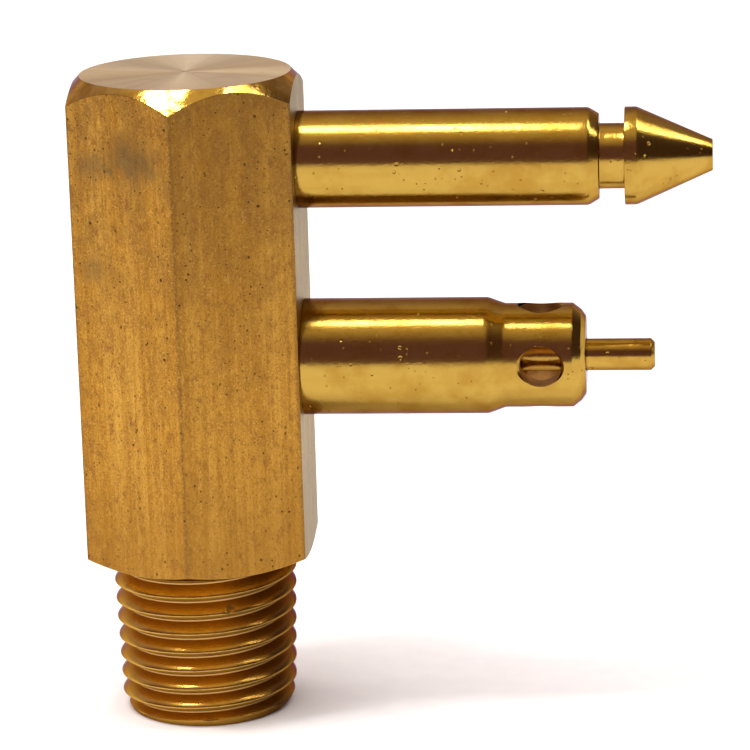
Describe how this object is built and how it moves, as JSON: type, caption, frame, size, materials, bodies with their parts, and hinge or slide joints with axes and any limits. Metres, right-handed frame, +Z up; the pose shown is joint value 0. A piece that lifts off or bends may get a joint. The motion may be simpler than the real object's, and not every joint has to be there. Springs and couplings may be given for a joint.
{
  "type": "two-prong tank connector",
  "caption": "Hexagonal brass tank connector with a tapered pipe thread, a grooved guide pin and a tubular prong with a sprung valve pin.",
  "frame": {"origin": "on the axis of the pipe thread, in the plane of its open lower end", "axes": "+Z up along the thread axis towards the top of the body, +X along the prongs, away from the body"},
  "size_m": [0.0452, 0.0184, 0.0472],
  "materials": {
    "body_brass": "drawn bar, satin",
    "prong_brass": "turned, polished",
    "valve_brass": "turned, polished",
    "spring_steel": "drawn stainless wire",
    "seal_rubber": "moulded, matt"
  },
  "bodies": {
    "housing": {"body": "body_brass", "guide_pin": "prong_brass", "fuel_prong": "prong_brass", "shank_seal": "seal_rubber", "spring_seat": "valve_brass", "retaining_ring": "spring_steel", "valve_spring": "spring_steel"},
    "valve": {"valve_stem": "valve_brass", "valve_poppet": "valve_brass", "poppet_seal": "seal_rubber"}
  },
  "joints": [
    {"name": "valve_slide", "type": "slide", "parent": "housing", "child": "valve", "axis": [-1, 0, 0], "range_m": [0, 0.003], "stiffness_N_per_m": 430, "springref_m": -0.0045, "deforming": ["valve_spring"]}
  ]
}
